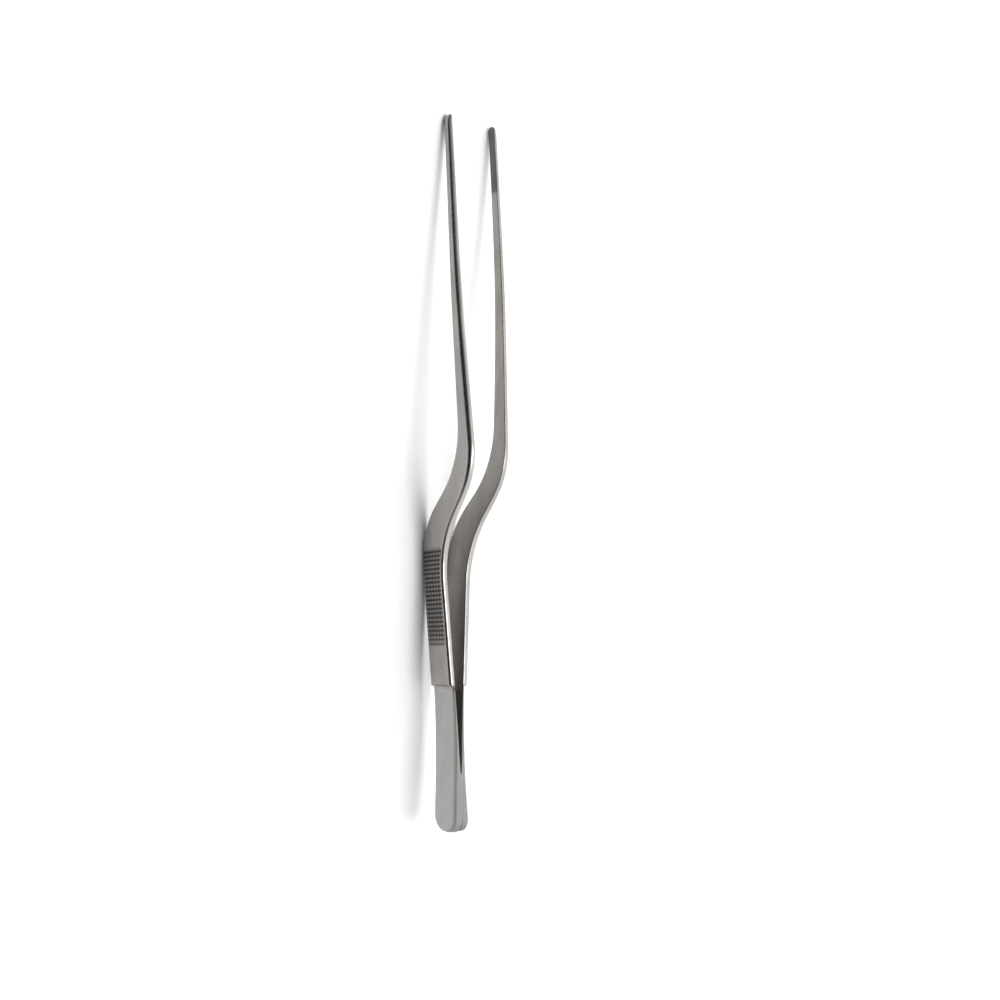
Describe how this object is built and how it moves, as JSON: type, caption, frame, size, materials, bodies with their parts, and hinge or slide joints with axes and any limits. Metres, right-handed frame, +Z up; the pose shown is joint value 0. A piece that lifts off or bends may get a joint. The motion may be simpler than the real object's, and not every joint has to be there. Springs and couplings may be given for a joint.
{
  "type": "aquascaping tweezers",
  "caption": "Long bayonet tweezers in satin steel: two sprung legs welded at the heel, with ribbed grips, an upward offset and slender arms ending in serrated jaws.",
  "frame": {"origin": "on the table under the middle of the length, in the middle plane between the legs", "axes": "+X from the heel to the tips, +Y towards the left leg, +Z up, with the tweezers lying on the lower edges of both grips and both tips"},
  "size_m": [0.2, 0.0178, 0.0214],
  "materials": {
    "steel": "satin stainless steel, edges polished a little brighter",
    "weld": "weld metal ground flush with the heel"
  },
  "bodies": {
    "heel": {"left_heel": "steel", "right_heel": "steel", "heel_weld": "weld"},
    "left_leg": {"left_leg": "steel"},
    "right_leg": {"right_leg": "steel"}
  },
  "joints": [
    {"name": "left_flex", "type": "hinge", "parent": "heel", "child": "left_leg", "pos_m": [-0.072, 0.00122, 0.0117], "axis": [-0.1513, 0, -0.9885], "range_deg": [0, 2.44], "stiffness_Nm_per_rad": 6.7},
    {"name": "right_flex", "type": "hinge", "parent": "heel", "child": "right_leg", "pos_m": [-0.072, -0.00122, 0.0117], "axis": [0.1513, 0, 0.9885], "range_deg": [0, 2.44], "stiffness_Nm_per_rad": 6.7}
  ]
}
